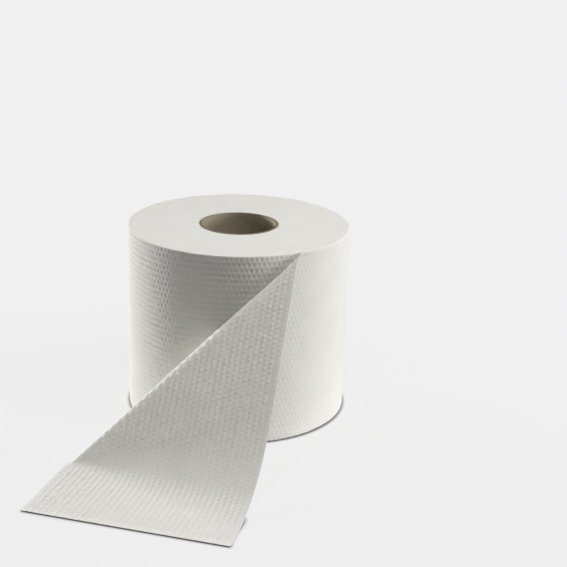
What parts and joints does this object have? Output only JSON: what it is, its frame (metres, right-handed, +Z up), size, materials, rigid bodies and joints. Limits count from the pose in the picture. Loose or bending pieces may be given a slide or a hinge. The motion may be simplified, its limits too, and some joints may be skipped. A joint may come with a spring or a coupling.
{
  "type": "paper towel roll",
  "caption": "Embossed paper towel roll on a cardboard core, standing on end with its free end pulled off, folded over and lying on the surface.",
  "frame": {"origin": "centre of the core's bore at the roll's lower end, on the surface it stands on", "axes": "+Z up along the roll's axis; the free end is pulled off towards -Y"},
  "size_m": [0.2794, 0.393, 0.1803],
  "materials": {
    "paper": "soft embossed matte",
    "cardboard": "rough matte"
  },
  "bodies": {
    "root": {"paper_web": "paper", "core": "cardboard"}
  },
  "joints": []
}
